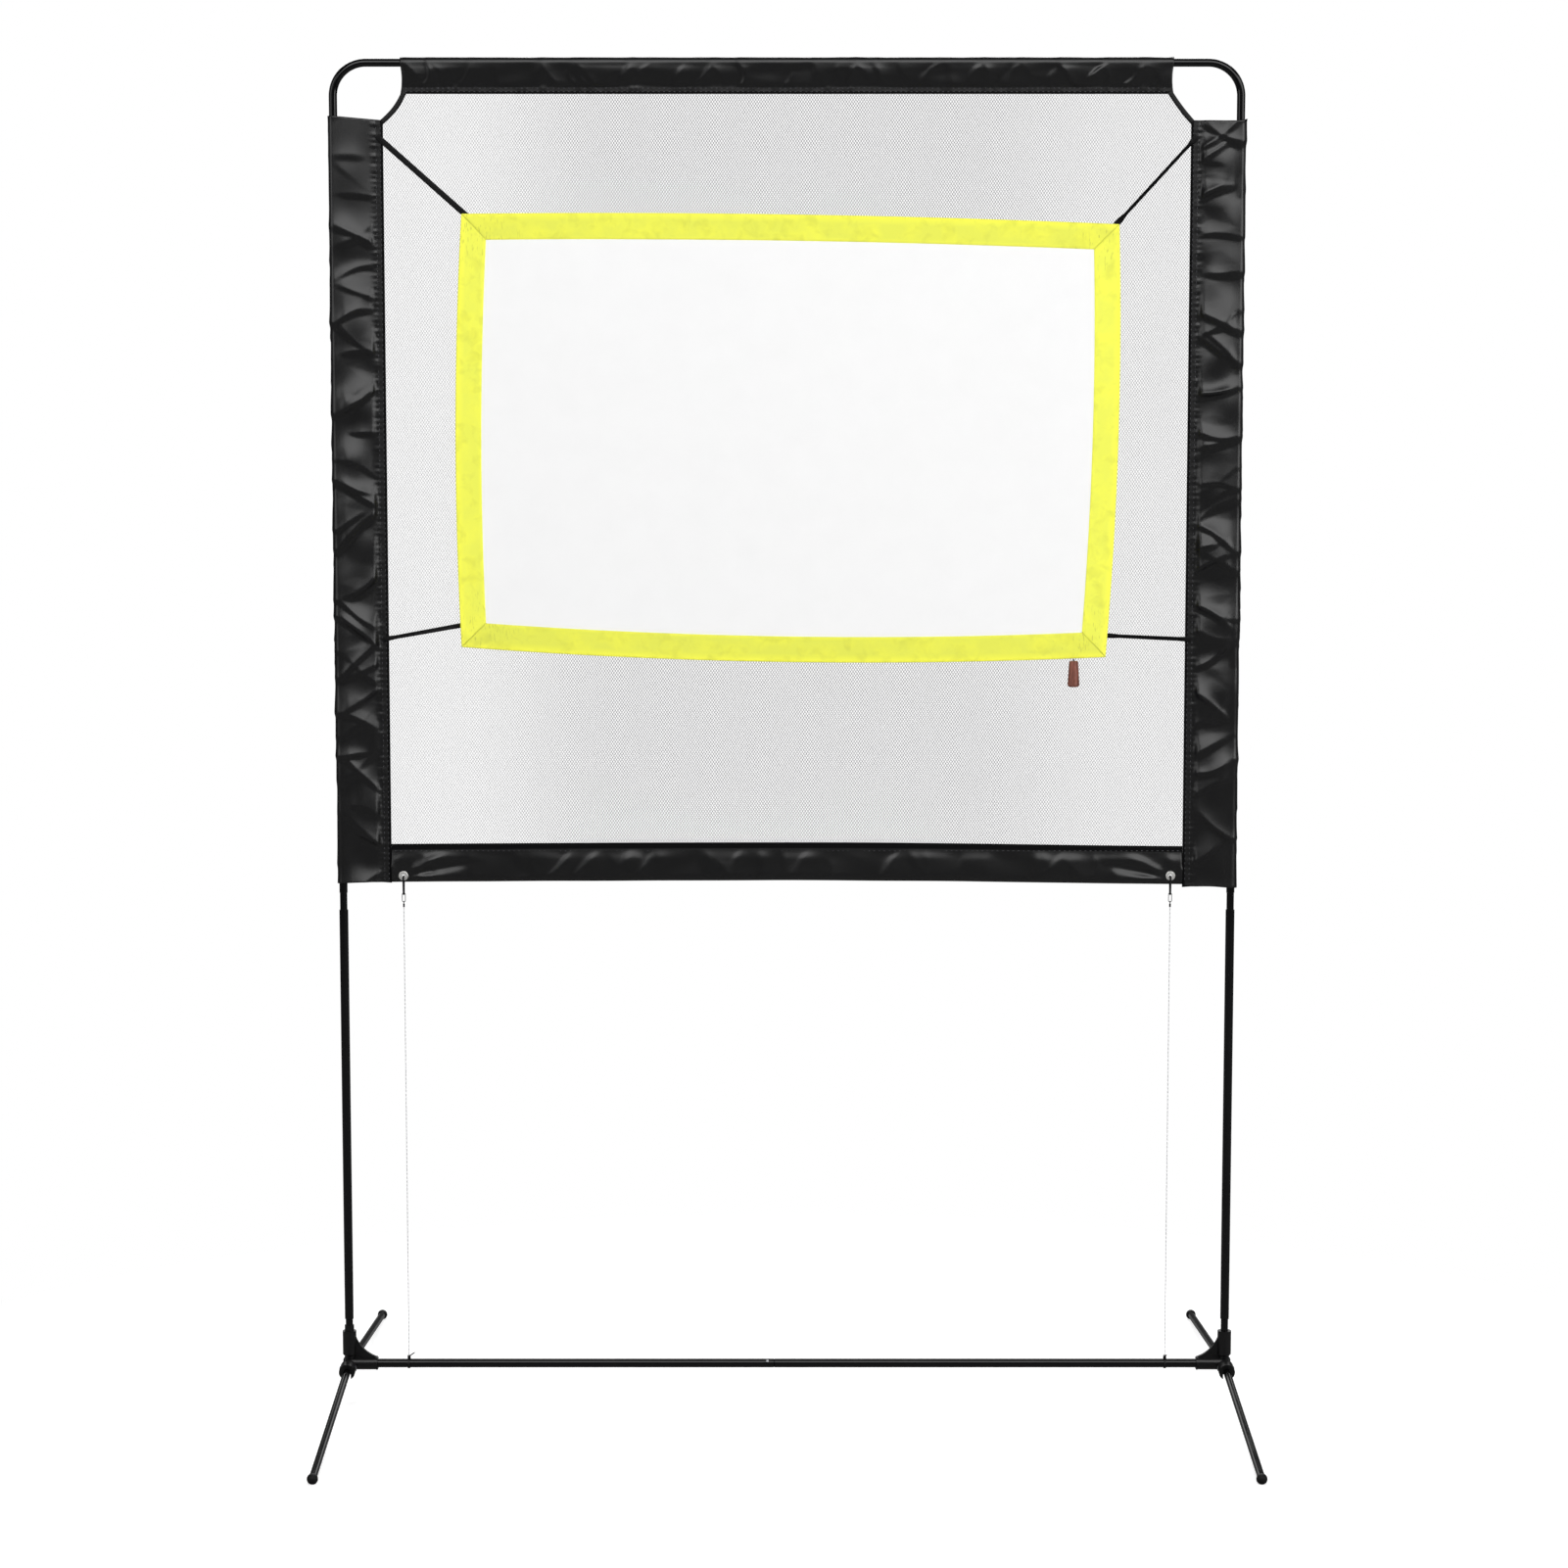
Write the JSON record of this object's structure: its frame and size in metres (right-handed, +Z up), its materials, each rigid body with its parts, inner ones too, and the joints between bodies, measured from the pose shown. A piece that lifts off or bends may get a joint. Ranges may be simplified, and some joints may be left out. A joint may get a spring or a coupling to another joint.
{
  "type": "pitching target net",
  "caption": "Free-standing pitching net on a tube frame with sleeves, a hung cloth target panel with a lime border, and fold-out legs on corner hubs.",
  "frame": {"origin": "on the floor, midway between the four feet, in the plane of the frame", "axes": "+X to the thrower's right along the crossbar, +Y behind the net, +Z up"},
  "size_m": [1.2316, 0.8348, 1.8219],
  "materials": {
    "black_tube": "gloss",
    "hub_plastic": "satin",
    "foot_rubber": "matte",
    "bright_steel": "satin",
    "grommet_nickel": "polished",
    "black_cloth": "matte",
    "net_cord": "matte",
    "white_cloth": "matte",
    "lime_cloth": "matte",
    "black_webbing": "matte",
    "pale_line": "matte",
    "tie_nylon": "satin",
    "brown_wood": "satin"
  },
  "bodies": {
    "frame_and_net": {"lower_pole_left": "black_tube", "lower_pole_right": "black_tube", "side_pole_left": "black_tube", "side_pole_right": "black_tube", "upper_pole_left": "black_tube", "upper_pole_right": "black_tube", "corner_tube_left": "black_tube", "corner_tube_right": "black_tube", "top_tube_left": "black_tube", "top_tube_right": "black_tube", "crossbar_left": "black_tube", "crossbar_right": "black_tube", "hub_left": "hub_plastic", "hub_right": "hub_plastic", "pole_collar": "hub_plastic", "pivot_pins_left": "bright_steel", "pivot_pins_right": "bright_steel", "button_spring": "bright_steel", "wire_snap_left": "bright_steel", "wire_snap_right": "bright_steel", "swivel_left": "bright_steel", "swivel_right": "bright_steel", "grommet_left": "grommet_nickel", "grommet_right": "grommet_nickel", "sleeve_left": "black_cloth", "sleeve_right": "black_cloth", "sleeve_top": "black_cloth", "bottom_band": "black_cloth", "corner_binding_left": "black_cloth", "corner_binding_right": "black_cloth", "net": "net_cord", "target_sheet": "white_cloth", "border_top": "lime_cloth", "border_bottom": "lime_cloth", "border_left": "lime_cloth", "border_right": "lime_cloth", "strap_top_left": "black_webbing", "strap_top_right": "black_webbing", "strap_bottom_left": "black_webbing", "strap_bottom_right": "black_webbing", "band_loop_left": "black_webbing", "band_loop_right": "black_webbing", "tie_line_left": "pale_line", "tie_line_right": "pale_line", "cable_tie_left": "tie_nylon", "cable_tie_right": "tie_nylon"},
    "front_left_leg": {"leg_front_left": "black_tube", "foot_cap_front_left": "foot_rubber"},
    "front_right_leg": {"leg_front_right": "black_tube", "foot_cap_front_right": "foot_rubber"},
    "rear_left_leg": {"leg_rear_left": "black_tube", "foot_cap_rear_left": "foot_rubber"},
    "rear_right_leg": {"leg_rear_right": "black_tube", "foot_cap_rear_right": "foot_rubber"},
    "snap_button": {"crossbar_button": "bright_steel"},
    "toggle": {"toggle_cord": "black_webbing", "wooden_toggle": "brown_wood"}
  },
  "joints": [
    {"name": "front_left_leg_fold", "type": "hinge", "parent": "frame_and_net", "child": "front_left_leg", "pos_m": [-0.604, -0.0219, 0.04294], "axis": [1, 0, 0], "range_deg": [0, 84.6]},
    {"name": "rear_left_leg_fold", "type": "hinge", "parent": "frame_and_net", "child": "rear_left_leg", "pos_m": [-0.604, 0.0219, 0.04294], "axis": [-1, 0, 0], "range_deg": [0, 84.6]},
    {"name": "front_right_leg_fold", "type": "hinge", "parent": "frame_and_net", "child": "front_right_leg", "pos_m": [0.604, -0.0219, 0.04294], "axis": [1, 0, 0], "range_deg": [0, 84.6]},
    {"name": "rear_right_leg_fold", "type": "hinge", "parent": "frame_and_net", "child": "rear_right_leg", "pos_m": [0.604, 0.0219, 0.04294], "axis": [-1, 0, 0], "range_deg": [0, 84.6]},
    {"name": "snap_button_press", "type": "slide", "parent": "frame_and_net", "child": "snap_button", "axis": [0, 0.766, -0.6428], "range_m": [0, 0.002], "stiffness_N_per_m": 600, "springref_m": -0.003, "deforming": ["button_spring"]},
    {"name": "toggle_swing", "type": "hinge", "parent": "frame_and_net", "child": "toggle", "pos_m": [0.387, -0.0086, 1.02006], "axis": [-1, 0, 0], "range_deg": [0, 80]}
  ]
}
